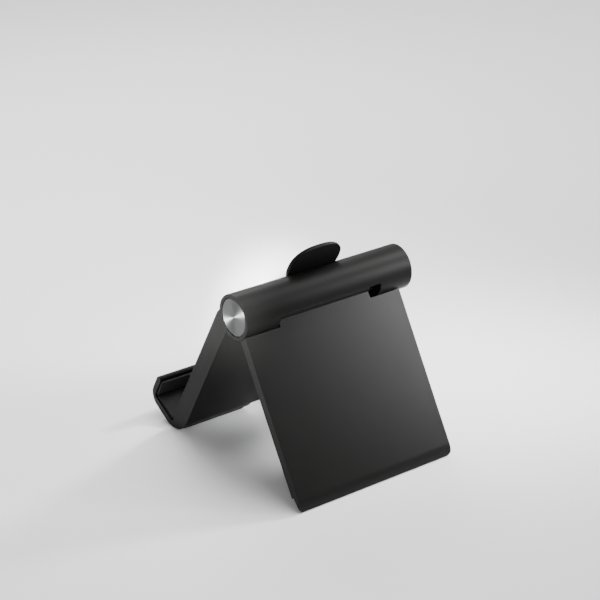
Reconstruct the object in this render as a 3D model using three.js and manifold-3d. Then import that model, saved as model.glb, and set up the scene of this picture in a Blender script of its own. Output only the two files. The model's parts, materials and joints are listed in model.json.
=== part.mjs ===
// Folding tablet stand: a holder plate with two hooks and a hinge barrel, and a rear leg
// whose neck turns inside the barrel on a friction hinge. Millimetres, +Z up,
// +X to the right of someone who faces the screen, +Y to the rear.
import * as THREE from 'three';
import { mergeVertices } from 'three/addons/utils/BufferGeometryUtils.js';
import Module from 'manifold-3d';

const wasm = await Module();
wasm.setup();

// ---- Driving dimensions ----
const WIDTH = 85.4;               // across the holder plate and the barrel
const LEG_WIDTH = 80;             // the leg is flush with the barrel's right end
const GAP = 0.3;                  // between pieces that are glued, seated or stacked
const OPENING = 60.1;             // angle between the plates as the stand is shown, degrees
const MAX_OPENING = 95;           // where the neck would meet the slot's lip, degrees

const BARREL_RADIUS = 9.75;
const BARREL_WALL = 1.85;         // around the knuckle
const KNUCKLE_CLEARANCE = 0.4;
const BULKHEAD = 4;
const SLOT_MARGIN = 16.6;         // barrel left whole at each side of the slot
const NECK_SIDE_GAP = 1.2;        // thrust washer's space, on the right of the neck
const STACK_SPACE = 4.4;          // friction stack's space, on the left of the neck

const CAP_RIM = 1.35;             // barrel's end left around the cap
const CAP_LEDGE = 1.1;            // seat behind the cap's edge
const CAP_THICKNESS = 1.7;
const CAP_SINK = 0.15;            // cap face below the barrel's end
const CAP_BEVEL = 0.35;

const HOLDER_LENGTH = 86.1;       // hinge axis to the underside of the hooks
const HOLDER_REAR = 0.8;          // rear face in front of the hinge axis
const FACE_PAD = 0.7;
const FACE_PAD_INSET = 0.4;
const FACE_PAD_TOP = 6;           // pad's upper edge below the hinge axis
const FACE_PAD_LIFT = 1;          // pad's lower edge above the cable gap's edge
const FACE_PAD_CORNER = 2.5;
const TONGUE_PAD = 0.5;
const TONGUE_THICKNESS = 1;
const TONGUE_HALF_WIDTH = 12.9;
const TONGUE_HALF_HEIGHT = 10.6;
const TONGUE_ABOVE_BARREL = 10;
const TONGUE_FULLNESS = 2.5;      // 2 is an ellipse, more is squarer
const TONGUE_PAD_INSET = 0.4;
const HEEL_RADIUS = 12;           // large round from the rear face to the underside
const HOOK_GAP = 16;              // cable gap between the hooks
const HOOK_CHANNEL = 13;          // room for a tablet's edge
const HOOK_LIP_HEIGHT = 14;
const HOOK_WALL = 3;
const LIP_WALL = 2.6;
const HOOK_TOE_RADIUS = 6;        // front lower corner
const CHANNEL_CORNER = 1;
const LINER = 1;                  // silicone strips in the hooks
const LINER_INSET = 0.6;
const PAD_END = 0.8;              // strips stop short of the channel's corners
const BASE_PAD = 0.9;
const BASE_PAD_PROUD = 0.3;
const BASE_PAD_FROM = -86;        // pad's ends on the heel's round, degrees
const BASE_PAD_TO = -28;
const BASE_PAD_INSET = 2;         // from the hook's sides
const GROOVE_SPARE = 1.5;         // groove past the pad's ends, degrees
const CABLE_EDGE_RISE = 10.3;     // plate's edge in the cable gap above the hooks' underside

const HOLDER_WALL = 2;
const RIM = 1.7;                  // shell left beside the cover
const COVER_LEDGE = 0.9;
const COVER_THICKNESS = 2;
const COVER_TOP = 12.6;           // cover's upper edge below the hinge axis
const COVER_BOTTOM_RIM = 3.4;     // plate left below the cover
const BOSS_RADIUS = 3;
const BOSS_INSET = 6;
const RIB = 1.4;
const RIB_OFFSET = 13;

const LEG_LENGTH = 83;            // hinge axis to the tip
const LEG_THICKNESS = 3.9;
const LEG_INNER = 0.4;            // inner face in front of the hinge axis
const SHOULDER_GAP = 0.4;         // shoulders' hollow edge to the barrel
const LEG_COVER = 1.3;
const LEG_RIM = 4;
const LEG_COVER_TOP = 17;
const LEG_COVER_BOTTOM_RIM = 3;   // leg left between its cover and the toe's bevel
const STIFFENER = 0.6;
const STIFFENER_INSET = 1;        // plate's edges from the recess's sides
const TOE_BEVEL = 6;              // bevelled length at the tip
const TOE_NOSE_RADIUS = 1.2;
const TOE_NOSE_DEPTH = 2.1;       // nose's centre behind the leg's inner face
const TOE_STRIP = 1.2;
const FOOT_INSET = 1.5;           // rubber strip's ends from the leg's sides
const TIP_SHORT = 0.2;            // plastic tip behind the strip's nose
const TOE_ROUND = 5;              // length of the rear face's round at the tip
const LEG_BOSS_RADIUS = 2.2;

const SHAFT_RADIUS = 2.5;
const BUSH_WALL = 1;
const BUSH_LENGTH = 10;
const HEAD_RADIUS = 4.6;
const HEAD_LENGTH = 3;
const SHAFT_END = 0.6;            // thread standing past the nut
const THRUST_WASHER = 0.6;
const FRICTION_WASHER = 1.2;
const SPRING_WASHER = 0.9;
const SPRING_CONE = 0.3;
const WASHER_INSET = 1.1;         // washers' edge inside the knuckle's

const COVER_SCREW = { shank: 1.1, head: 2.4, headHeight: 1.3, length: 4.6 };
const LEG_SCREW = { shank: 0.8, head: 1.7, headHeight: 0.8, length: 2.3 };

const ROUND = 48;                 // sides of the barrel's circle
const SMALL_ROUND = 20;
const ARC_STEPS = 8;
const REACH = 5;                  // how far cutting shapes run past what they cut

// ---- Sizes worked out from the driving ones ----
const HALF = WIDTH / 2;
const holeRadius = SHAFT_RADIUS + GAP;
const bushRadius = holeRadius + BUSH_WALL;
const knuckleSpace = BARREL_RADIUS - BARREL_WALL;
const knuckleRadius = knuckleSpace - KNUCKLE_CLEARANCE;
const washerRadius = knuckleRadius - WASHER_INSET;
const capRecess = BARREL_RADIUS - CAP_RIM;
const capRadius = capRecess - GAP;
const endBore = capRadius - CAP_LEDGE;
const slot = { left: -HALF + SLOT_MARGIN, right: HALF - SLOT_MARGIN };
const neck = { left: slot.left + STACK_SPACE, right: slot.right - NECK_SIDE_GAP };
const capSeat = CAP_SINK + CAP_THICKNESS + GAP;

const front = -BARREL_RADIUS;                       // plane that the tablet's back lies on
const faceY = front + FACE_PAD + GAP;               // holder plate's front face
const rearY = -HOLDER_REAR;
const heel = { y: rearY - HEEL_RADIUS, z: -HOLDER_LENGTH + HEEL_RADIUS };
const cableEdgeZ = -HOLDER_LENGTH + CABLE_EDGE_RISE;
const channelFloorZ = -HOLDER_LENGTH + HOOK_WALL;
const lipInnerY = front - HOOK_CHANNEL - LINER - GAP;
const lipOuterY = lipInnerY - LIP_WALL;
const lipTopZ = -HOLDER_LENGTH + HOOK_LIP_HEIGHT;
const hookInner = HOOK_GAP / 2;
const coverBackY = faceY + COVER_THICKNESS;
const ledgeY = coverBackY + GAP;
const coverBottom = -cableEdgeZ - COVER_BOTTOM_RIM;
const coverHalf = HALF - RIM - GAP;

const legSide = { left: HALF - LEG_WIDTH, right: HALF };
const legInnerY = -LEG_INNER;
const legRearY = legInnerY + LEG_THICKNESS;
const legWall = LEG_THICKNESS - LEG_COVER - STIFFENER - 2 * GAP;   // behind the stiffener
const shoulderRadius = BARREL_RADIUS + SHOULDER_GAP;
const nose = { y: legInnerY + TOE_NOSE_DEPTH, z: -LEG_LENGTH + TOE_NOSE_RADIUS };
const bevelTopZ = -LEG_LENGTH + TOE_BEVEL;
const legCoverBottom = LEG_LENGTH - TOE_BEVEL - LEG_COVER_BOTTOM_RIM;

// ---- Materials ----
function finish(color, roughness, metalness) {
  return new THREE.MeshStandardMaterial({ color, roughness, metalness });
}
const charcoal = finish(0x2c2c2b, 0.5, 0);
const silicone = finish(0x141414, 0.85, 0);
const aluminium = finish(0xd6d7d8, 0.28, 1);
const steel = finish(0x9a9c9e, 0.35, 1);
const acetal = finish(0x1e1e1e, 0.45, 0);
const springSteel = finish(0x6f7174, 0.4, 1);

// ---- Solids: three.js geometry to a manifold and back ----
function solid(geometry) {
  const bare = geometry.clone();
  bare.deleteAttribute('normal');
  bare.deleteAttribute('uv');
  const merged = mergeVertices(bare, 1e-4);
  return new wasm.Manifold(new wasm.Mesh({
    numProp: 3,
    vertProperties: new Float32Array(merged.attributes.position.array),
    triVerts: new Uint32Array(merged.index.array),
  }));
}

function geometryOf(body) {
  const mesh = body.getMesh();
  const geometry = new THREE.BufferGeometry();
  geometry.setAttribute('position', new THREE.BufferAttribute(mesh.vertProperties, 3));
  geometry.setIndex(new THREE.BufferAttribute(mesh.triVerts, 1));
  geometry.computeVertexNormals();
  return geometry;
}

// A profile drawn in (y, z), extruded along X.
function alongX(shape, x0, x1) {
  const depth = x1 - x0;
  const geometry = new THREE.ExtrudeGeometry(shape, {
    depth, bevelEnabled: false, curveSegments: ARC_STEPS,
  });
  const basis = new THREE.Matrix4().makeBasis(
    new THREE.Vector3(0, 1, 0), new THREE.Vector3(0, 0, 1), new THREE.Vector3(1, 0, 0));
  return geometry.applyMatrix4(basis).translate(x0, 0, 0);
}

// An outline drawn in (x, z), extruded from y0 back to y1.
function alongY(shape, y0, y1) {
  const geometry = new THREE.ExtrudeGeometry(shape, {
    depth: y1 - y0, bevelEnabled: false, curveSegments: ARC_STEPS,
  });
  const basis = new THREE.Matrix4().makeBasis(
    new THREE.Vector3(1, 0, 0), new THREE.Vector3(0, 0, 1), new THREE.Vector3(0, -1, 0));
  return geometry.applyMatrix4(basis).translate(0, y1, 0);
}

function block(x0, x1, y0, y1, z0, z1) {
  const geometry = new THREE.BoxGeometry(x1 - x0, y1 - y0, z1 - z0);
  return geometry.translate((x0 + x1) / 2, (y0 + y1) / 2, (z0 + z1) / 2);
}

function rodX(radius, x0, x1, sides = SMALL_ROUND) {
  const geometry = new THREE.CylinderGeometry(radius, radius, x1 - x0, sides);
  return geometry.rotateZ(Math.PI / 2).translate((x0 + x1) / 2, 0, 0);
}

function rodY(radius, x, z, y0, y1, sides = SMALL_ROUND) {
  const geometry = new THREE.CylinderGeometry(radius, radius, y1 - y0, sides);
  return geometry.translate(x, (y0 + y1) / 2, z);
}

function ringX(inner, outer, x0, x1, cone = 0) {
  const profile = [
    new THREE.Vector2(inner, x0 + cone), new THREE.Vector2(outer, x0),
    new THREE.Vector2(outer, x1 - cone), new THREE.Vector2(inner, x1),
    new THREE.Vector2(inner, x0 + cone),
  ];
  return new THREE.LatheGeometry(profile, SMALL_ROUND).rotateZ(-Math.PI / 2);
}

function polygon(points) {
  const shape = new THREE.Shape();
  shape.moveTo(...points[0]);
  points.slice(1).forEach((point) => shape.lineTo(...point));
  shape.closePath();
  return shape;
}

function roundedOutline(x0, x1, z0, z1, radius) {
  const shape = new THREE.Shape();
  shape.moveTo(x0 + radius, z0);
  shape.lineTo(x1 - radius, z0);
  shape.absarc(x1 - radius, z0 + radius, radius, -Math.PI / 2, 0, false);
  shape.lineTo(x1, z1 - radius);
  shape.absarc(x1 - radius, z1 - radius, radius, 0, Math.PI / 2, false);
  shape.lineTo(x0 + radius, z1);
  shape.absarc(x0 + radius, z1 - radius, radius, Math.PI / 2, Math.PI, false);
  shape.lineTo(x0, z0 + radius);
  shape.absarc(x0 + radius, z0 + radius, radius, Math.PI, Math.PI * 1.5, false);
  return shape;
}

// ---- Holder plate, hooks and barrel, drawn upright about the hinge axis ----
function hookProfile() {
  const shape = new THREE.Shape();
  const corner = CHANNEL_CORNER;
  const toe = HOOK_TOE_RADIUS;
  const tip = LIP_WALL / 2;
  shape.moveTo(rearY, cableEdgeZ + REACH);
  shape.lineTo(faceY, cableEdgeZ + REACH);
  shape.lineTo(faceY, channelFloorZ + corner);
  shape.absarc(faceY - corner, channelFloorZ + corner, corner, 0, -Math.PI / 2, true);
  shape.lineTo(lipInnerY + corner, channelFloorZ);
  shape.absarc(lipInnerY + corner, channelFloorZ + corner, corner, -Math.PI / 2, -Math.PI, true);
  shape.lineTo(lipInnerY, lipTopZ - tip);
  shape.absarc(lipInnerY - tip, lipTopZ - tip, tip, 0, Math.PI, false);
  shape.lineTo(lipOuterY, -HOLDER_LENGTH + toe);
  shape.absarc(lipOuterY + toe, -HOLDER_LENGTH + toe, toe, Math.PI, Math.PI * 1.5, false);
  shape.lineTo(heel.y, -HOLDER_LENGTH);
  shape.absarc(heel.y, heel.z, HEEL_RADIUS, -Math.PI / 2, 0, false);
  return shape;
}

function tongueOutline(inset) {
  const width = TONGUE_HALF_WIDTH - inset;
  const height = TONGUE_HALF_HEIGHT - inset;
  const centreZ = BARREL_RADIUS + TONGUE_ABOVE_BARREL - TONGUE_HALF_HEIGHT;
  const rootZ = Math.sqrt(BARREL_RADIUS ** 2 - (faceY - GAP) ** 2) + inset;
  const power = 2 / TONGUE_FULLNESS;
  const below = Math.asin(((centreZ - rootZ) / height) ** (1 / power));
  const steps = ARC_STEPS * 4;
  const points = [];
  for (let i = 0; i <= steps; i += 1) {
    const turn = -below + (i / steps) * (Math.PI + 2 * below);
    const across = Math.cos(turn);
    const up = Math.sin(turn);
    points.push([
      width * Math.sign(across) * Math.abs(across) ** power,
      centreZ + height * Math.sign(up) * Math.abs(up) ** power,
    ]);
  }
  return polygon(points);
}

// The slot reaches from the plate's rear face round to a lip, parallel to the leg's rear face
// at its widest opening.
function slotProfile() {
  const turn = THREE.MathUtils.degToRad(MAX_OPENING);
  const down = new THREE.Vector2(Math.sin(turn), -Math.cos(turn));
  const out = new THREE.Vector2(Math.cos(turn), Math.sin(turn));
  const reach = BARREL_RADIUS + REACH;
  const offset = legRearY + SHOULDER_GAP;
  const lipStart = out.clone().multiplyScalar(offset);
  const lipEnd = lipStart.clone().addScaledVector(down, reach);
  return polygon([
    [rearY, 0], [rearY, -reach], [reach, -reach], [reach, lipEnd.y],
    [lipEnd.x, lipEnd.y], [lipStart.x, lipStart.y],
  ]);
}

function bossPlaces(left, right, top, bottom) {
  const [x0, x1] = [left + BOSS_INSET, right - BOSS_INSET];
  const [z0, z1] = [-top - BOSS_INSET, -bottom + BOSS_INSET];
  return [[x0, z0], [x1, z0], [x0, z1], [x1, z1]];
}
const coverScrews = bossPlaces(-coverHalf, coverHalf, COVER_TOP, coverBottom);
const legScrews = bossPlaces(legSide.left + LEG_RIM, legSide.right - LEG_RIM, LEG_COVER_TOP,
  legCoverBottom);

function basePadBand(inner, outer, from, to) {
  const start = THREE.MathUtils.degToRad(from);
  const end = THREE.MathUtils.degToRad(to);
  const shape = new THREE.Shape();
  shape.absarc(heel.y, heel.z, outer, start, end, false);
  shape.absarc(heel.y, heel.z, inner, end, start, true);
  return shape;
}

function holderShell() {
  let body = solid(rodX(BARREL_RADIUS, -HALF, HALF, ROUND));
  const heelEdgeY = heel.y + Math.sqrt(HEEL_RADIUS ** 2 - (cableEdgeZ - heel.z) ** 2);
  const plate = polygon([
    [rearY, 0], [faceY, 0], [faceY, cableEdgeZ], [heelEdgeY, cableEdgeZ], [rearY, heel.z],
  ]);
  body = body.add(solid(alongX(plate, -HALF, HALF)));
  const hook = hookProfile();
  body = body.add(solid(alongX(hook, hookInner, HALF)));
  body = body.add(solid(alongX(hook, -HALF, -hookInner)));
  const tongueFront = front + TONGUE_PAD + GAP;
  body = body.add(solid(alongY(tongueOutline(0), tongueFront, tongueFront + TONGUE_THICKNESS)));

  const coverOpening = coverHalf + GAP;
  body = body.subtract(solid(block(-coverOpening, coverOpening, faceY - REACH, ledgeY,
    -coverBottom - GAP, -COVER_TOP + GAP)));
  const pocketHalf = coverHalf - COVER_LEDGE;
  body = body.subtract(solid(block(-pocketHalf, pocketHalf, faceY - REACH, rearY - HOLDER_WALL,
    -coverBottom + COVER_LEDGE, -COVER_TOP - COVER_LEDGE)));
  for (const x of [-RIB_OFFSET, RIB_OFFSET]) {
    body = body.add(solid(block(x - RIB / 2, x + RIB / 2, ledgeY, rearY - HOLDER_WALL / 2,
      -coverBottom, -COVER_TOP)));
  }
  for (const [x, z] of coverScrews) {
    body = body.add(solid(rodY(BOSS_RADIUS, x, z, ledgeY, rearY - HOLDER_WALL / 2)));
    const hole = COVER_SCREW.shank + GAP;
    body = body.subtract(solid(rodY(hole, x, z, faceY - REACH, faceY + COVER_SCREW.length + GAP)));
  }

  body = body.subtract(solid(rodX(knuckleSpace, slot.left, slot.right, ROUND)));
  body = body.subtract(solid(alongX(slotProfile(), slot.left, slot.right)));
  body = body.subtract(solid(rodX(holeRadius, slot.left - REACH, slot.right + REACH)));
  for (const side of [-1, 1]) {
    const wall = side > 0 ? slot.right + BULKHEAD : -slot.left + BULKHEAD;
    const mirror = new THREE.Matrix4().makeRotationZ(side > 0 ? 0 : Math.PI);
    body = body.subtract(solid(rodX(endBore, wall, HALF + REACH, ROUND).applyMatrix4(mirror)));
    body = body.subtract(solid(
      rodX(capRecess, HALF - capSeat, HALF + REACH, ROUND).applyMatrix4(mirror)));
  }

  const groove = basePadBand(HEEL_RADIUS + BASE_PAD_PROUD - BASE_PAD - GAP, HEEL_RADIUS + REACH,
    BASE_PAD_FROM - GROOVE_SPARE, BASE_PAD_TO + GROOVE_SPARE);
  const grooveInner = hookInner + BASE_PAD_INSET - GAP;
  const grooveOuter = HALF - BASE_PAD_INSET + GAP;
  body = body.subtract(solid(alongX(groove, grooveInner, grooveOuter)));
  body = body.subtract(solid(alongX(groove, -grooveOuter, -grooveInner)));
  return geometryOf(body);
}

function frontCover() {
  let body = solid(block(-coverHalf, coverHalf, faceY, coverBackY, -coverBottom, -COVER_TOP));
  for (const [x, z] of coverScrews) {
    body = body.subtract(solid(screwShape(COVER_SCREW, GAP).translate(x, faceY, z)));
  }
  return geometryOf(body);
}

// A countersunk screw along +Y, its head's face at y = 0. Clearance makes the hole's shape.
function screwShape(screw, clearance = 0) {
  const top = clearance > 0 ? -REACH : GAP / 2;
  const shank = screw.shank + clearance;
  const head = screw.head + clearance;
  const neckY = screw.headHeight + clearance;
  const end = clearance > 0 ? screw.length + REACH : screw.length;
  const profile = [
    new THREE.Vector2(0, top), new THREE.Vector2(head, top),
    new THREE.Vector2(head, GAP), new THREE.Vector2(shank, neckY),
    new THREE.Vector2(shank, end), new THREE.Vector2(0, end),
  ];
  return new THREE.LatheGeometry(profile, SMALL_ROUND);
}

function drivenScrew(screw) {
  const driver = solid(rodY(screw.shank * 0.75, 0, 0, -REACH, screw.headHeight * 0.7, 6));
  return solid(screwShape(screw)).subtract(driver);
}

function facePad() {
  const half = HALF - FACE_PAD_INSET;
  const outline = roundedOutline(-half, half, cableEdgeZ + FACE_PAD_LIFT, -FACE_PAD_TOP,
    FACE_PAD_CORNER);
  return alongY(outline, front, front + FACE_PAD);
}

function tonguePad() {
  return alongY(tongueOutline(TONGUE_PAD_INSET), front, front + TONGUE_PAD);
}

// Silicone strips glued in a hook: one on its floor, one inside its lip.
function hookFloorPad(x0, x1) {
  const floor = channelFloorZ + GAP;
  return block(x0, x1, lipInnerY + GAP + LINER + GAP, faceY - GAP - PAD_END, floor, floor + LINER);
}

function hookLipPad(x0, x1) {
  const wall = lipInnerY + GAP;
  return block(x0, x1, wall, wall + LINER, channelFloorZ + GAP + PAD_END, lipTopZ - LIP_WALL / 2);
}

function basePad(x0, x1) {
  const outer = HEEL_RADIUS + BASE_PAD_PROUD;
  return alongX(basePadBand(outer - BASE_PAD, outer, BASE_PAD_FROM, BASE_PAD_TO), x0, x1);
}

// ---- Hinge pieces, on the hinge axis ----
function hingeShaft() {
  const headStart = slot.right + BULKHEAD + GAP;
  const end = slot.left - BULKHEAD - GAP - HEAD_LENGTH - SHAFT_END;
  const shank = solid(rodX(SHAFT_RADIUS, end, headStart + HEAD_LENGTH / 2));
  return geometryOf(shank.add(solid(rodX(HEAD_RADIUS, headStart, headStart + HEAD_LENGTH, 6))));
}

function lockNut() {
  const end = slot.left - BULKHEAD - GAP;
  const nut = solid(rodX(HEAD_RADIUS, end - HEAD_LENGTH, end, 6));
  return geometryOf(nut.subtract(solid(rodX(holeRadius, end - REACH, end + REACH))));
}

function washer(x0, thickness, cone = 0) {
  return ringX(holeRadius, washerRadius, x0 - thickness, x0, cone);
}

function endCap(side) {
  const outer = HALF - CAP_SINK;
  const profile = [
    new THREE.Vector2(0, outer - CAP_THICKNESS), new THREE.Vector2(capRadius, outer - CAP_THICKNESS),
    new THREE.Vector2(capRadius, outer - CAP_BEVEL), new THREE.Vector2(capRadius - CAP_BEVEL, outer),
    new THREE.Vector2(0, outer),
  ];
  return new THREE.LatheGeometry(profile, ROUND).rotateZ(side > 0 ? -Math.PI / 2 : Math.PI / 2);
}

// ---- Leg, drawn upright about the hinge axis ----
// Directions at the tip: along the bevel and out of it, and the bevel's length to the nose.
function bevelFrame() {
  const nosePoint = new THREE.Vector2(nose.y, nose.z);
  const toNose = nosePoint.clone().sub(new THREE.Vector2(legInnerY, bevelTopZ));
  const tangent = Math.asin(TOE_NOSE_RADIUS / toNose.length());
  const side = toNose.clone().normalize().rotateAround(new THREE.Vector2(), -tangent);
  const out = new THREE.Vector2(side.y, -side.x);
  const place = (sideways, outward) => [
    nosePoint.x + side.x * sideways + out.x * outward,
    nosePoint.y + side.y * sideways + out.y * outward,
  ];
  return { side, out, length: toNose.dot(side), place };
}

function legProfile() {
  const { place } = bevelFrame();
  const [tipY, tipZ] = place(TOE_NOSE_RADIUS - TIP_SHORT, TOE_NOSE_RADIUS - TOE_STRIP - GAP);
  const roundTop = tipZ + TOE_ROUND;
  const inward = legRearY - tipY;
  const radius = (inward ** 2 + TOE_ROUND ** 2) / (2 * inward);
  const turned = Math.asin(TOE_ROUND / radius);
  const shape = new THREE.Shape();
  shape.moveTo(legInnerY, 0);
  shape.lineTo(legInnerY, bevelTopZ);
  shape.lineTo(tipY, tipZ);
  shape.absarc(legRearY - radius, roundTop, radius, -turned, 0, false);
  shape.lineTo(legRearY, 0);
  return shape;
}

function toeNotch() {
  const { length, place } = bevelFrame();
  const deep = TOE_NOSE_RADIUS - TOE_STRIP - GAP;
  return polygon([
    place(-length - GAP, REACH), place(-length - GAP, deep), place(REACH, deep), place(REACH, REACH),
  ]);
}

function legShell() {
  let body = solid(alongX(legProfile(), legSide.left, legSide.right));
  body = body.subtract(solid(alongX(toeNotch(), -HALF - REACH, HALF + REACH)));
  const cut = solid(rodX(shoulderRadius, -HALF - REACH, HALF + REACH, ROUND));
  body = body.subtract(cut);
  const neckPlate = block(neck.left, neck.right, legInnerY, legRearY, -LEG_COVER_TOP, 0);
  body = body.add(solid(neckPlate));
  body = body.add(solid(rodX(knuckleRadius, neck.left, neck.right, ROUND)));

  body = body.subtract(solid(block(legSide.left + LEG_RIM, legSide.right - LEG_RIM,
    legInnerY - REACH, legRearY - legWall, -legCoverBottom, -LEG_COVER_TOP)));
  for (const [x, z] of legScrews) {
    body = body.add(solid(rodY(LEG_BOSS_RADIUS, x, z, legInnerY + LEG_COVER + GAP,
      legRearY - legWall / 2)));
    body = body.subtract(solid(rodY(LEG_SCREW.shank + GAP, x, z, legInnerY - REACH,
      legInnerY + LEG_SCREW.length + GAP)));
  }
  body = body.subtract(solid(rodX(holeRadius, neck.left - REACH, neck.right + REACH)));
  const pocket = BUSH_LENGTH + GAP;
  body = body.subtract(solid(rodX(bushRadius + GAP, neck.left - REACH, neck.left + pocket)));
  body = body.subtract(solid(rodX(bushRadius + GAP, neck.right - pocket, neck.right + REACH)));
  return geometryOf(body);
}

function legCover() {
  const side = LEG_RIM + GAP;
  let body = solid(block(legSide.left + side, legSide.right - side, legInnerY,
    legInnerY + LEG_COVER, -legCoverBottom + GAP, -LEG_COVER_TOP - GAP));
  for (const [x, z] of legScrews) {
    body = body.subtract(solid(screwShape(LEG_SCREW, GAP).translate(x, legInnerY, z)));
  }
  return geometryOf(body);
}

function stiffener() {
  const side = LEG_RIM + STIFFENER_INSET;
  const y0 = legInnerY + LEG_COVER + GAP;
  let body = solid(block(legSide.left + side, legSide.right - side, y0, y0 + STIFFENER,
    -legCoverBottom + STIFFENER_INSET, -LEG_COVER_TOP - STIFFENER_INSET));
  for (const [x, z] of legScrews) {
    body = body.subtract(solid(rodY(LEG_BOSS_RADIUS + GAP, x, z, y0 - REACH, y0 + REACH)));
  }
  return geometryOf(body);
}

// Rubber strip under the leg's tip: its bevelled face and the rounded nose.
function footStrip() {
  const { side, out, length, place } = bevelFrame();
  const shape = new THREE.Shape();
  shape.moveTo(...place(-length, TOE_NOSE_RADIUS));
  shape.absarc(nose.y, nose.z, TOE_NOSE_RADIUS, Math.atan2(out.y, out.x),
    Math.atan2(side.y, side.x), false);
  shape.lineTo(...place(-length, TOE_NOSE_RADIUS - TOE_STRIP));
  return alongX(shape, legSide.left + FOOT_INSET, legSide.right - FOOT_INSET);
}

function bush(x0) {
  return ringX(holeRadius, bushRadius, x0, x0 + BUSH_LENGTH);
}

// ---- Assembly ----
function add(group, name, geometry, material) {
  const mesh = new THREE.Mesh(geometry, material);
  mesh.name = name;
  group.add(mesh);
  return mesh;
}

function holderGroup() {
  const group = new THREE.Group();
  add(group, 'holder_shell', holderShell(), charcoal);
  add(group, 'front_cover', frontCover(), charcoal);
  add(group, 'face_pad', facePad(), silicone);
  add(group, 'tongue_pad', tonguePad(), silicone);
  const hooks = [
    ['left', -HALF + LINER_INSET, -hookInner - LINER_INSET],
    ['right', hookInner + LINER_INSET, HALF - LINER_INSET],
  ];
  for (const [side, x0, x1] of hooks) {
    add(group, `hook_floor_pad_${side}`, hookFloorPad(x0, x1), silicone);
    add(group, `hook_lip_pad_${side}`, hookLipPad(x0, x1), silicone);
  }
  add(group, 'base_pad_left', basePad(-HALF + BASE_PAD_INSET, -hookInner - BASE_PAD_INSET), silicone);
  add(group, 'base_pad_right', basePad(hookInner + BASE_PAD_INSET, HALF - BASE_PAD_INSET), silicone);
  coverScrews.forEach(([x, z], i) => {
    const screw = geometryOf(drivenScrew(COVER_SCREW));
    add(group, `cover_screw_${i + 1}`, screw, steel).position.set(x, faceY, z);
  });

  add(group, 'hinge_shaft', hingeShaft(), steel);
  add(group, 'lock_nut', lockNut(), steel);
  add(group, 'thrust_washer', washer(slot.right - GAP, THRUST_WASHER), acetal);
  let x = neck.left - GAP;
  add(group, 'friction_washer', washer(x, FRICTION_WASHER), acetal);
  x -= FRICTION_WASHER + GAP;
  add(group, 'spring_washer_1', washer(x, SPRING_WASHER, SPRING_CONE), springSteel);
  x -= SPRING_WASHER + GAP;
  add(group, 'spring_washer_2', washer(x, SPRING_WASHER, SPRING_CONE), springSteel);
  add(group, 'end_cap_left', endCap(-1), aluminium);
  add(group, 'end_cap_right', endCap(1), aluminium);
  return group;
}

function legGroup() {
  const group = new THREE.Group();
  add(group, 'leg_shell', legShell(), charcoal);
  add(group, 'leg_cover', legCover(), charcoal);
  add(group, 'stiffener_plate', stiffener(), steel);
  add(group, 'foot_strip', footStrip(), silicone);
  legScrews.forEach(([x, z], i) => {
    const screw = geometryOf(drivenScrew(LEG_SCREW));
    add(group, `leg_screw_${i + 1}`, screw, steel).position.set(x, legInnerY, z);
  });
  add(group, 'hinge_bush_left', bush(neck.left), acetal);
  add(group, 'hinge_bush_right', bush(neck.right - BUSH_LENGTH), acetal);
  return group;
}

// Slope of the holder at which the base pads and the foot strip touch one level floor.
function holderSlope() {
  const opening = THREE.MathUtils.degToRad(OPENING);
  const c = Math.cos(opening);
  const s = Math.sin(opening);
  const p = -heel.z + nose.z * c + nose.y * s;
  const q = heel.y + nose.z * s - nose.y * c;
  const k = TOE_NOSE_RADIUS - (HEEL_RADIUS + BASE_PAD_PROUD);
  return Math.asin(k / Math.hypot(p, q)) - Math.atan2(q, p);
}

const slope = holderSlope();
const holder = holderGroup();
holder.rotation.x = slope - Math.PI / 2;
const leg = legGroup();
leg.rotation.x = slope - Math.PI / 2 + THREE.MathUtils.degToRad(OPENING);

const stand = new THREE.Group();
stand.add(holder, leg);
stand.updateMatrixWorld(true);
const bounds = new THREE.Box3().setFromObject(stand, true);
const centre = bounds.getCenter(new THREE.Vector3());
stand.position.set(-centre.x, -centre.y, -bounds.min.z);

export default stand;
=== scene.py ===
import bmesh
import bpy
import json
import math
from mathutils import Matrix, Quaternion, Vector


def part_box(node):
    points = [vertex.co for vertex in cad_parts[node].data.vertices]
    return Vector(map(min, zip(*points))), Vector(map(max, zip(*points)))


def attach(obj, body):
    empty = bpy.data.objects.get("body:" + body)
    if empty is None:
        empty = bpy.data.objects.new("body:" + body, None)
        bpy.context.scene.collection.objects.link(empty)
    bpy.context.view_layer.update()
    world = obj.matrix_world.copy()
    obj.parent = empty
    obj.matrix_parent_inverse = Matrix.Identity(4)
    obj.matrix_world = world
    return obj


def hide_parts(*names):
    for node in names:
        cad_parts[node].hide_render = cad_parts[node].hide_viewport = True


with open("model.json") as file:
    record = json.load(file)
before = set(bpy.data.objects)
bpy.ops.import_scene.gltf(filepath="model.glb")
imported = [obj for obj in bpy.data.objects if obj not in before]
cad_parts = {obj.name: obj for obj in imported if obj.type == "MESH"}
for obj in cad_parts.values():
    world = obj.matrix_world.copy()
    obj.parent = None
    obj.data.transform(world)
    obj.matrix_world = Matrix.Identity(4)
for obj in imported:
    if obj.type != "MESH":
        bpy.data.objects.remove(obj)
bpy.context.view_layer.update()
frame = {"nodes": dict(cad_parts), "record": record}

# ---- Camera ----
# The view looks down on the back of the stand, past the leg, from behind its right-hand end.
# A long lens from 0.8 m away, with a hair of roll.
MM = 0.001
AIM = Vector((5.13, 4.18, 65.96)) * MM
AZIMUTH = math.radians(143.2)
ELEVATION = math.radians(24.82)
ROLL = math.radians(-0.24)
DISTANCE = 824.7 * MM
VIEW_ANGLE = math.radians(17.2)
NEAREST_SEEN = 10 * MM
towards = Vector((math.sin(AZIMUTH) * math.cos(ELEVATION),
                  -math.cos(AZIMUTH) * math.cos(ELEVATION), math.sin(ELEVATION)))
camera_data = bpy.data.cameras.new("camera")
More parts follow.
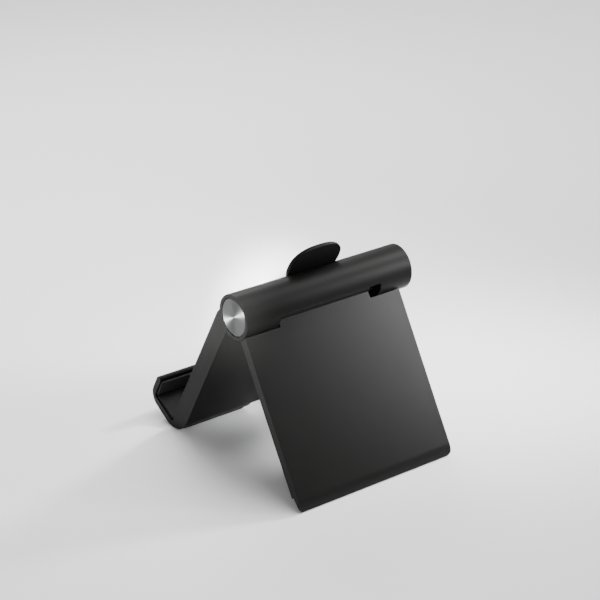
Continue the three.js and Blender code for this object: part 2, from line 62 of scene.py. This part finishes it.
camera_data.sensor_fit = "HORIZONTAL"
camera_data.angle = VIEW_ANGLE
camera_data.clip_start = NEAREST_SEEN
camera = bpy.data.objects.new("camera", camera_data)
camera.rotation_mode = "QUATERNION"
camera.rotation_quaternion = towards.to_track_quat("Z", "Y") @ Quaternion((0, 0, 1), ROLL)
camera.location = AIM + towards * DISTANCE
bpy.context.scene.collection.objects.link(camera)
bpy.context.scene.camera = camera

# ---- Studio ----
# A pale seamless floor in a pale room, lit evenly from overhead. Soft boxes beyond the stand's
# left-hand end draw the sheen across the leg and along the barrel, a small one behind its
# right-hand end lights the spun cap, and a wide one fills the front.
ROOM_LIGHT = 0.55
CEILING_LIGHT = 2.6
CEILING_WIDTH = math.radians(50)
CEILING_TILT = (math.radians(-6), math.radians(-18), 0)
FLOOR_GREYS = ((0.88, 0.88, 0.88, 1), (0.92, 0.92, 0.92, 1))
FLOOR_HALF = 4
world = bpy.data.worlds.new("pale_room")
world.use_nodes = True
walls = world.node_tree.nodes["Background"]
walls.inputs["Color"].default_value = (1, 1, 1, 1)
walls.inputs["Strength"].default_value = ROOM_LIGHT
bpy.context.scene.world = world
ceiling_data = bpy.data.lights.new("ceiling", "SUN")
ceiling_data.energy = CEILING_LIGHT
ceiling_data.angle = CEILING_WIDTH
ceiling = bpy.data.objects.new("ceiling", ceiling_data)
ceiling.rotation_euler = CEILING_TILT
bpy.context.scene.collection.objects.link(ceiling)


# Each box has a place, a point that it aims at, a size, a power, and the angle that its
# honeycomb grid lets through.
def soft_box(name, place, aim, size, power, grid=180):
    data = bpy.data.lights.new(name, "AREA")
    data.shape = "RECTANGLE"
    data.size, data.size_y = size
    data.energy = power
    data.spread = math.radians(grid)
    box = bpy.data.objects.new(name, data)
    box.location = place
    box.rotation_mode = "QUATERNION"
    box.rotation_quaternion = (Vector(place) - Vector(aim)).to_track_quat("Z", "Y")
    box.visible_camera = False
    bpy.context.scene.collection.objects.link(box)


soft_box("side_box", (-0.27, 0.20, 0.175), (-0.13, 0.02, 0.085), (0.11, 0.15), power=0.36, grid=50)
soft_box("barrel_box", (-0.34, 0.014, 0.31), (-0.06, 0.01, 0.07), (0.08, 0.08), power=0.15, grid=45)
soft_box("cap_box", (0.50, 0.50, 0.34), (0.049, 0.004, 0.071), (0.03, 0.03), power=0.042, grid=2.5)
soft_box("front_box", (-0.16, -0.46, 0.42), (0.0, -0.03, 0.05), (0.34, 0.20), power=2.8)


def node_material(name):
    made = bpy.data.materials.new(name)
    made.use_nodes = True
    return made, made.node_tree.nodes, made.node_tree.links


floor_finish, nodes, links = node_material("studio_floor")
shader = nodes["Principled BSDF"]
shader.inputs["Roughness"].default_value = 0.8
shader.inputs["Specular IOR Level"].default_value = 0.1
mottle = nodes.new("ShaderNodeTexNoise")
mottle.inputs["Scale"].default_value = 3
tint = nodes.new("ShaderNodeValToRGB")
tint.color_ramp.elements[0].color = FLOOR_GREYS[0]
tint.color_ramp.elements[1].color = FLOOR_GREYS[1]
coordinates = nodes.new("ShaderNodeTexCoord")
links.new(coordinates.outputs["Object"], mottle.inputs["Vector"])
links.new(mottle.outputs["Fac"], tint.inputs["Fac"])
links.new(tint.outputs["Color"], shader.inputs["Base Color"])
floor_mesh = bpy.data.meshes.new("studio_floor")
shape = bmesh.new()
bmesh.ops.create_grid(shape, x_segments=2, y_segments=2, size=FLOOR_HALF)
shape.to_mesh(floor_mesh)
shape.free()
floor_mesh.materials.append(floor_finish)
floor = bpy.data.objects.new("studio_floor", floor_mesh)
bpy.context.scene.collection.objects.link(floor)

# ---- Holder: plate, hooks, tongue and hinge barrel ----
# One moulding in charcoal ABS with a fine spark-eroded skin, every outer edge softly rounded.
# The barrel carries the slot that the leg's neck turns in.
HOLDER_EDGE = 0.45 * MM
CHARCOAL = (0.0045, 0.0045, 0.0043, 1)
CHARCOAL_WORN = (0.018, 0.018, 0.0175, 1)
SKIN_SCALE = 5200
SKIN_HEIGHT = 0.03 * MM
GRAIN_CONTRAST = 1.5
CLOUD_SCALE = 60
SHEEN_CHANGE = 0.035
RUBBED_WIDTH = 0.5 * MM
RUBBED_MOST = 0.8
MERGE_WITHIN = 0.002 * MM
FLAT_WITHIN = math.radians(0.6)
SOFTENED_FROM = math.radians(28)


def moulded_plastic(name, dark, worn, roughness, gloss):
    made, nodes, links = node_material(name)
    shader = nodes["Principled BSDF"]
    shader.inputs["Specular IOR Level"].default_value = gloss
    where = nodes.new("ShaderNodeTexCoord")
    skin = nodes.new("ShaderNodeTexNoise")
    skin.inputs["Scale"].default_value = SKIN_SCALE
    skin.inputs["Detail"].default_value = 3
    clouds = nodes.new("ShaderNodeTexNoise")
    clouds.inputs["Scale"].default_value = CLOUD_SCALE
    clouds.inputs["Detail"].default_value = 2
    for texture in (skin, clouds):
        links.new(where.outputs["Object"], texture.inputs["Vector"])
    # Edges rubbed a little paler: where a rounded normal leaves the flat one.
    rounded = nodes.new("ShaderNodeBevel")
    rounded.inputs["Radius"].default_value = RUBBED_WIDTH
    surface = nodes.new("ShaderNodeNewGeometry")
    leave = nodes.new("ShaderNodeVectorMath")
    leave.operation = "DOT_PRODUCT"
    links.new(rounded.outputs["Normal"], leave.inputs[0])
    links.new(surface.outputs["Normal"], leave.inputs[1])
    edge = nodes.new("ShaderNodeMapRange")
    edge.inputs["From Min"].default_value = 0.99
    edge.inputs["From Max"].default_value = 0.8
    edge.inputs["To Max"].default_value = RUBBED_MOST
    links.new(leave.outputs["Value"], edge.inputs["Value"])
    rubbed = nodes.new("ShaderNodeMath")
    rubbed.operation = "MULTIPLY"
    links.new(edge.outputs["Result"], rubbed.inputs[0])
    links.new(clouds.outputs["Fac"], rubbed.inputs[1])
    base = nodes.new("ShaderNodeMix")
    base.data_type = "RGBA"
    base.inputs["A"].default_value = dark
    base.inputs["B"].default_value = tuple(c * GRAIN_CONTRAST for c in dark[:3]) + (1,)
    links.new(skin.outputs["Fac"], base.inputs["Factor"])
    colour = nodes.new("ShaderNodeMix")
    colour.data_type = "RGBA"
    colour.inputs["B"].default_value = worn
    links.new(base.outputs["Result"], colour.inputs["A"])
    links.new(rubbed.outputs["Value"], colour.inputs["Factor"])
    links.new(colour.outputs["Result"], shader.inputs["Base Color"])
    sheen = nodes.new("ShaderNodeMapRange")
    sheen.inputs["To Min"].default_value = roughness - SHEEN_CHANGE
    sheen.inputs["To Max"].default_value = roughness + SHEEN_CHANGE
    links.new(clouds.outputs["Fac"], sheen.inputs["Value"])
    links.new(sheen.outputs["Result"], shader.inputs["Roughness"])
    bump = nodes.new("ShaderNodeBump")
    bump.inputs["Strength"].default_value = 0.25
    bump.inputs["Distance"].default_value = SKIN_HEIGHT
    links.new(skin.outputs["Fac"], bump.inputs["Height"])
    links.new(bump.outputs["Normal"], shader.inputs["Normal"])
    return made


def merged_copy(node):
    shape = bmesh.new()
    shape.from_mesh(frame["nodes"][node].data)
    bmesh.ops.remove_doubles(shape, verts=shape.verts, dist=MERGE_WITHIN)
    bmesh.ops.dissolve_limit(shape, angle_limit=FLAT_WITHIN, verts=shape.verts,
                             edges=shape.edges)
    return shape


def make_piece(shape, name, finish, body, replaced, soften=0.0):
    for face in shape.faces:
        face.smooth = True
    mesh = bpy.data.meshes.new(name)
    shape.to_mesh(mesh)
    shape.free()
    mesh.materials.append(finish)
    piece = bpy.data.objects.new(name, mesh)
    bpy.context.scene.collection.objects.link(piece)
    if soften:
        rounding = piece.modifiers.new("rounded_edges", "BEVEL")
        rounding.width = soften
        rounding.segments = 3
        rounding.limit_method = "ANGLE"
        rounding.angle_limit = SOFTENED_FROM
        rounding.miter_outer = "MITER_ARC"
    flats = piece.modifiers.new("flat_faces_stay_flat", "WEIGHTED_NORMAL")
    flats.weight = 90
    flats.keep_sharp = True
    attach(piece, body)
    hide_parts(*replaced)
    return piece


holder_plastic = moulded_plastic("holder_charcoal", CHARCOAL, CHARCOAL_WORN, roughness=0.44,
                                 gloss=0.07)
make_piece(merged_copy("holder_shell"), "holder", holder_plastic, "holder",
           ["holder_shell"], HOLDER_EDGE)

# ---- Front cover ----
# The thin panel that closes the holder plate from the tablet's side, let into it and held by
# four countersunk screws. Same plastic, moulded a touch smoother.
COVER_EDGE = 0.25 * MM
cover_plastic = moulded_plastic("cover_charcoal", CHARCOAL, CHARCOAL_WORN, roughness=0.5,
                                gloss=0.14)
make_piece(merged_copy("front_cover"), "cover", cover_plastic, "holder",
           ["front_cover"], COVER_EDGE)

# ---- Silicone pads of the holder ----
# Die-cut and moulded strips in black silicone, glued where the tablet touches: the face, the
# tongue, the hooks' floors and lips. Their cut edges are soft and they hold a little dust.
PAD_EDGE = 0.22 * MM
SILICONE = (0.005, 0.005, 0.005, 1)
SILICONE_DUST = (0.018, 0.0175, 0.0165, 1)
DUST_SCALE = 900
GRIP_HEIGHT = 0.05 * MM


def soft_silicone(name, pitch):
    made, nodes, links = node_material(name)
    shader = nodes["Principled BSDF"]
    shader.inputs["Roughness"].default_value = 0.72
    shader.inputs["Specular IOR Level"].default_value = 0.15
    shader.inputs["Sheen Weight"].default_value = 0.08
    shader.inputs["Sheen Roughness"].default_value = 0.5
    where = nodes.new("ShaderNodeTexCoord")
    dust = nodes.new("ShaderNodeTexNoise")
    dust.inputs["Scale"].default_value = DUST_SCALE
    dust.inputs["Detail"].default_value = 6
    dust.inputs["Roughness"].default_value = 0.7
    links.new(where.outputs["Object"], dust.inputs["Vector"])
    tint = nodes.new("ShaderNodeValToRGB")
    tint.color_ramp.elements[0].position = 0.52
    tint.color_ramp.elements[0].color = SILICONE
    tint.color_ramp.elements[1].position = 0.85
    tint.color_ramp.elements[1].color = SILICONE_DUST
    links.new(dust.outputs["Fac"], tint.inputs["Fac"])
    links.new(tint.outputs["Color"], shader.inputs["Base Color"])
    grip = nodes.new("ShaderNodeTexVoronoi")
    grip.inputs["Scale"].default_value = 1 / pitch
    links.new(where.outputs["Object"], grip.inputs["Vector"])
    bump = nodes.new("ShaderNodeBump")
    bump.inputs["Strength"].default_value = 0.35
    bump.inputs["Distance"].default_value = GRIP_HEIGHT
    links.new(grip.outputs["Distance"], bump.inputs["Height"])
    links.new(bump.outputs["Normal"], shader.inputs["Normal"])
    return made


pad_silicone = soft_silicone("pad_silicone", pitch=0.35 * MM)
for pad in ("face_pad", "tongue_pad", "hook_floor_pad_left", "hook_floor_pad_right",
            "hook_lip_pad_left", "hook_lip_pad_right"):
    make_piece(merged_copy(pad), pad.replace("pad", "silicone"), pad_silicone, "holder",
               [pad], PAD_EDGE)

# ---- Base pads ----
# Two black silicone treads let into the round heel under the hooks, which grip the desk.
TREAD_EDGE = 0.2 * MM
tread_silicone = soft_silicone("tread_silicone", pitch=0.5 * MM)
for pad in ("base_pad_left", "base_pad_right"):
    make_piece(merged_copy(pad), pad.replace("pad", "tread"), tread_silicone, "holder",
               [pad], TREAD_EDGE)

# ---- Screws ----
# Small zinc-plated countersunk screws with a hexagon socket, four through the front cover and
# four through the leg's cover. Turned, so the heads carry faint rings.
SCREW_EDGE = 0.07 * MM
ZINC = (0.50, 0.50, 0.51, 1)
STAIN_SCALE = 450
STAIN_SHADE = 0.72
MARK_SCALE = 3500
MARK_HEIGHT = 0.02 * MM


def plated_metal(name, colour, roughness):
    made, nodes, links = node_material(name)
    shader = nodes["Principled BSDF"]
    shader.inputs["Metallic"].default_value = 1.0
    where = nodes.new("ShaderNodeTexCoord")
    stain = nodes.new("ShaderNodeTexNoise")
    stain.inputs["Scale"].default_value = STAIN_SCALE
    stain.inputs["Detail"].default_value = 4
    links.new(where.outputs["Object"], stain.inputs["Vector"])
    tint = nodes.new("ShaderNodeValToRGB")
    tint.color_ramp.elements[0].color = tuple(c * STAIN_SHADE for c in colour[:3]) + (1,)
    tint.color_ramp.elements[1].color = colour
    links.new(stain.outputs["Fac"], tint.inputs["Fac"])
    links.new(tint.outputs["Color"], shader.inputs["Base Color"])
    dull = nodes.new("ShaderNodeMapRange")
    dull.inputs["To Min"].default_value = roughness - 0.07
    dull.inputs["To Max"].default_value = roughness + 0.12
    links.new(stain.outputs["Fac"], dull.inputs["Value"])
    links.new(dull.outputs["Result"], shader.inputs["Roughness"])
    marks = nodes.new("ShaderNodeTexNoise")
    marks.inputs["Scale"].default_value = MARK_SCALE
    links.new(where.outputs["Object"], marks.inputs["Vector"])
    bump = nodes.new("ShaderNodeBump")
    bump.inputs["Strength"].default_value = 0.2
    bump.inputs["Distance"].default_value = MARK_HEIGHT
    links.new(marks.outputs["Fac"], bump.inputs["Height"])
    links.new(bump.outputs["Normal"], shader.inputs["Normal"])
    return made


zinc = plated_metal("zinc_plate", ZINC, roughness=0.32)
for body, kind in (("holder", "cover_screw"), ("leg", "leg_screw")):
    for number in range(1, 5):
        node = f"{kind}_{number}"
        make_piece(merged_copy(node), node.replace("screw", "bolt"), zinc, body,
                   [node], SCREW_EDGE)

# ---- Hinge shaft, nut and washers ----
# A plated steel shaft with a hexagon head and a lock nut pinches the leg's neck between acetal
# washers and two blued spring washers. Cut and pressed parts: they keep their plain shapes.
ACETAL = (0.02, 0.02, 0.02, 1)
ACETAL_SHADE = 0.88
ACETAL_CLOUD_SCALE = 300
BLUED = (0.035, 0.037, 0.042, 1)


def machined_acetal(name):
    made, nodes, links = node_material(name)
    shader = nodes["Principled BSDF"]
    shader.inputs["Roughness"].default_value = 0.42
    shader.inputs["Subsurface Weight"].default_value = 0.15
    shader.inputs["Subsurface Scale"].default_value = 0.6 * MM
    where = nodes.new("ShaderNodeTexCoord")
    cloud = nodes.new("ShaderNodeTexNoise")
    cloud.inputs["Scale"].default_value = ACETAL_CLOUD_SCALE
    links.new(where.outputs["Object"], cloud.inputs["Vector"])
    tint = nodes.new("ShaderNodeValToRGB")
    tint.color_ramp.elements[0].color = tuple(c * ACETAL_SHADE for c in ACETAL[:3]) + (1,)
    tint.color_ramp.elements[1].color = ACETAL
    links.new(cloud.outputs["Fac"], tint.inputs["Fac"])
    links.new(tint.outputs["Color"], shader.inputs["Base Color"])
    return made


def refinish(nodes, finish):
    for node in nodes:
        for material_slot in frame["nodes"][node].material_slots:
            material_slot.material = finish


refinish(["hinge_shaft", "lock_nut", "stiffener_plate"], zinc)
refinish(["spring_washer_1", "spring_washer_2"],
         plated_metal("blued_spring", BLUED, roughness=0.36))
refinish(["thrust_washer", "friction_washer", "hinge_bush_left", "hinge_bush_right"],
         machined_acetal("black_acetal"))

# ---- End caps ----
# Spun aluminium discs pressed into the barrel's two ends, faced on a lathe: fine rings round
# the middle, a bright chamfer, and the shallow dish the tool leaves.
CAP_DISH = 0.10 * MM
CAP_CHAMFER = 0.35 * MM
CAP_BACK_CHAMFER = 0.2 * MM
CAP_FLAT_RIM = 0.25 * MM
CAP_STEPS = 96
RING_SCALE = 9000
RING_HEIGHT = 0.01 * MM
RING_SHADE = 0.9
RING_ROUGHNESS = (0.46, 0.60)
ALUMINIUM = (0.165, 0.167, 0.169, 1)
hinge = frame["record"]["behaviour"]["joints"][0]
hinge_at = Vector(hinge["pos_m"])


def spun_aluminium(name):
    made, nodes, links = node_material(name)
    shader = nodes["Principled BSDF"]
    shader.inputs["Metallic"].default_value = 1.0
    shader.inputs["Anisotropic"].default_value = 0.9
    where = nodes.new("ShaderNodeTexCoord")
    centred = nodes.new("ShaderNodeVectorMath")
    centred.operation = "SUBTRACT"
    centred.inputs[1].default_value = hinge_at
    links.new(where.outputs["Object"], centred.inputs[0])
    flat = nodes.new("ShaderNodeVectorMath")
    flat.operation = "MULTIPLY"
    flat.inputs[1].default_value = (0, 1, 1)
    links.new(centred.outputs["Vector"], flat.inputs[0])
    outward = nodes.new("ShaderNodeVectorMath")
    outward.operation = "NORMALIZE"
    links.new(flat.outputs["Vector"], outward.inputs[0])
    links.new(outward.outputs["Vector"], shader.inputs["Tangent"])
    reach = nodes.new("ShaderNodeVectorMath")
    reach.operation = "LENGTH"
    links.new(flat.outputs["Vector"], reach.inputs[0])
    rings = nodes.new("ShaderNodeTexNoise")
    rings.noise_dimensions = "1D"
    rings.inputs["Scale"].default_value = RING_SCALE
    rings.inputs["Detail"].default_value = 4
    links.new(reach.outputs["Value"], rings.inputs["W"])
    dull = nodes.new("ShaderNodeMapRange")
    dull.inputs["To Min"].default_value = RING_ROUGHNESS[0]
    dull.inputs["To Max"].default_value = RING_ROUGHNESS[1]
    links.new(rings.outputs["Fac"], dull.inputs["Value"])
    links.new(dull.outputs["Result"], shader.inputs["Roughness"])
    tint = nodes.new("ShaderNodeValToRGB")
    tint.color_ramp.elements[0].color = tuple(c * RING_SHADE for c in ALUMINIUM[:3]) + (1,)
    tint.color_ramp.elements[1].color = ALUMINIUM
    links.new(rings.outputs["Fac"], tint.inputs["Fac"])
    links.new(tint.outputs["Color"], shader.inputs["Base Color"])
    bump = nodes.new("ShaderNodeBump")
    bump.inputs["Strength"].default_value = 0.25
    bump.inputs["Distance"].default_value = RING_HEIGHT
    links.new(rings.outputs["Fac"], bump.inputs["Height"])
    links.new(bump.outputs["Normal"], shader.inputs["Normal"])
    return made


aluminium = spun_aluminium("spun_aluminium")
for node, outward in (("end_cap_left", -1), ("end_cap_right", 1)):
    low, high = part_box(node)
    radius = (high[2] - low[2]) / 2
    face_x = high[0] if outward > 0 else low[0]
    back_x = low[0] if outward > 0 else high[0]
    shape = bmesh.new()
    stations = [
        (back_x, 0), (back_x, radius - CAP_BACK_CHAMFER),
        (back_x + outward * CAP_BACK_CHAMFER, radius),
        (face_x - outward * CAP_CHAMFER, radius), (face_x, radius - CAP_CHAMFER),
        (face_x, radius - CAP_CHAMFER - CAP_FLAT_RIM),
        (face_x - outward * CAP_DISH * 0.5, radius * 0.55), (face_x - outward * CAP_DISH, 0),
    ]
    profile = [shape.verts.new(Vector((x, hinge_at.y, hinge_at.z + r))) for x, r in stations]
    edges = [shape.edges.new(pair) for pair in zip(profile, profile[1:])]
    bmesh.ops.spin(shape, geom=profile + edges, cent=hinge_at, axis=(1, 0, 0),
                   angle=math.tau, steps=CAP_STEPS, use_merge=True, use_duplicate=False)
    bmesh.ops.remove_doubles(shape, verts=shape.verts, dist=MERGE_WITHIN)
    bmesh.ops.recalc_face_normals(shape, faces=shape.faces)
    for edge in shape.edges:
        if edge.calc_face_angle(0) > math.radians(30):
            edge.smooth = False
    make_piece(shape, node.replace("end_cap", "spun_cap"), aluminium, "holder",
               [node])

# ---- Leg ----
# The rear plate and its knuckled neck, one moulding in the same charcoal plastic. The plate's
# two lower corners are rounded, and its tip curves forward to the rubber foot.
LEG_EDGE = 0.4 * MM
CORNER_RADIUS = 1.8 * MM
CORNER_CUTS = 5
leg_plastic = moulded_plastic("leg_charcoal", CHARCOAL, CHARCOAL_WORN, roughness=0.38,
                              gloss=0.11)
holder_normal = Vector(frame["record"]["mounts"][0]["axis"])
folded = math.radians(hinge["range_deg"][0])
rearward = -holder_normal
rearward.rotate(Quaternion((1, 0, 0), -folded))
upward = Vector((0, -rearward.z, rearward.y))
shape = merged_copy("leg_shell")
reaches = [(vert.co - hinge_at).dot(upward) for vert in shape.verts]
sides = [vert.co.x for vert in shape.verts]
tip = hinge_at + upward * min(reaches)
for side_x, outward in ((min(sides), -1), (max(sides), 1)):
    centre = Vector((side_x - outward * CORNER_RADIUS, tip.y, tip.z)) + upward * CORNER_RADIUS
    for step in range(CORNER_CUTS):
        turn = math.radians(90) * (step + 0.5) / CORNER_CUTS
        facing = Vector((outward, 0, 0)) * math.cos(turn) - upward * math.sin(turn)
        cut = bmesh.ops.bisect_plane(shape, geom=shape.verts[:] + shape.edges[:] + shape.faces[:],
                                     plane_co=centre + facing * CORNER_RADIUS, plane_no=facing,
                                     clear_outer=True)
        rim = [item for item in cut["geom_cut"] if isinstance(item, bmesh.types.BMEdge)]
        bmesh.ops.contextual_create(shape, geom=rim)
make_piece(shape, "leg", leg_plastic, "leg", ["leg_shell"], LEG_EDGE)

# ---- Leg cover ----
# A thin panel of the same plastic, let into the leg's inner face over a steel stiffening plate,
# and held by four small countersunk screws.
leg_cover_plastic = moulded_plastic("leg_cover_charcoal", CHARCOAL, CHARCOAL_WORN,
                                    roughness=0.5, gloss=0.14)
make_piece(merged_copy("leg_cover"), "leg_panel", leg_cover_plastic, "leg",
           ["leg_cover"], COVER_EDGE)

# ---- Foot strip ----
# A black rubber strip glued in the tip's notch, across nearly the whole leg: it stands on the
# desk with its bevel and its round nose.
FOOT_EDGE = 0.2 * MM
foot_rubber = soft_silicone("foot_rubber", pitch=0.45 * MM)
make_piece(merged_copy("foot_strip"), "foot_rubber", foot_rubber, "leg",
           ["foot_strip"], FOOT_EDGE)
